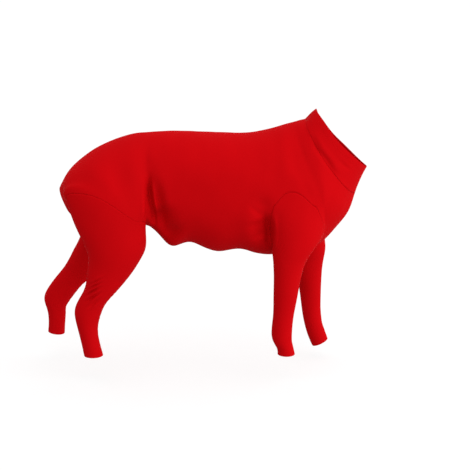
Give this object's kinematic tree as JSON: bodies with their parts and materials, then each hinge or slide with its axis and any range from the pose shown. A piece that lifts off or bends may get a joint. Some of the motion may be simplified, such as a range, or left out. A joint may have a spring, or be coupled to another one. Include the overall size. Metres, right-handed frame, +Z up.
{
  "type": "dog recovery suit",
  "caption": "Red full-body stretch recovery suit for a large dog, with four long legs, a high neck and an open seat, kept in the form it has when worn.",
  "frame": {"origin": "where the suit sits on the dog: on the inner face of the back cloth, over the withers, on the middle plane", "axes": "+X towards the head, +Y to the dog's left, +Z up"},
  "size_m": [0.7623, 0.243, 0.5877],
  "materials": {
    "torso_jersey": "matt knit",
    "collar_jersey": "matt knit",
    "sleeve_jersey": "matt knit",
    "leg_jersey": "matt knit"
  },
  "bodies": {
    "root": {"torso": "torso_jersey", "neck_collar": "collar_jersey", "right_sleeve": "sleeve_jersey", "left_sleeve": "sleeve_jersey", "right_leg": "leg_jersey", "left_leg": "leg_jersey"}
  },
  "joints": []
}
